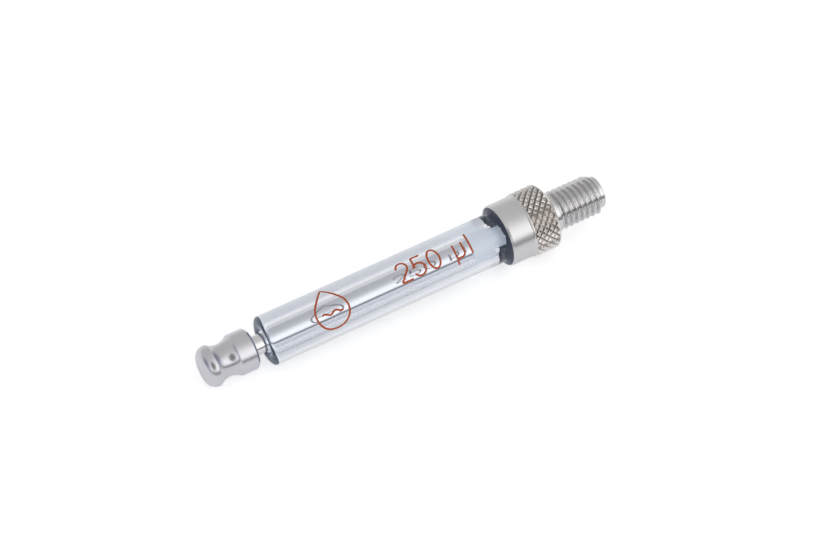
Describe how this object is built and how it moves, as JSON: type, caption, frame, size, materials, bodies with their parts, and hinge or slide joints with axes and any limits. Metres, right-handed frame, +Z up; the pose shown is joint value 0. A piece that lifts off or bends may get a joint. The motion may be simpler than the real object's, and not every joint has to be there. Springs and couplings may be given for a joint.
{
  "type": "microsyringe",
  "caption": "Glass microsyringe with a knurled threaded metal fitting, a steel plunger rod with a soft sealing tip and a waisted button, lying on its side.",
  "frame": {"origin": "bottom centre of the syringe as it lies, on the surface under it", "axes": "+X towards the threaded end, +Z up; the syringe's axis rises by about 1.7 degrees towards +X"},
  "size_m": [0.0676, 0.0102, 0.0104],
  "materials": {
    "clear_glass": "polished borosilicate",
    "fitting_metal": "satin turned",
    "bond_resin": "cured resin, glossy",
    "seal_white": "smooth fluoropolymer",
    "rod_steel": "ground and polished",
    "button_metal": "fine bead-blasted satin",
    "print_orange": "fired enamel print"
  },
  "bodies": {
    "barrel": {"glass_barrel": "clear_glass", "threaded_fitting": "fitting_metal", "bond_ring": "bond_resin", "sealing_disc": "seal_white"},
    "plunger": {"plunger_rod": "rod_steel", "plunger_tip": "seal_white", "plunger_button": "button_metal"}
  },
  "joints": [
    {"name": "plunger_slide", "type": "slide", "parent": "barrel", "child": "plunger", "axis": [-0.9996, 0, -0.0288], "range_m": [0, 0.03]}
  ]
}
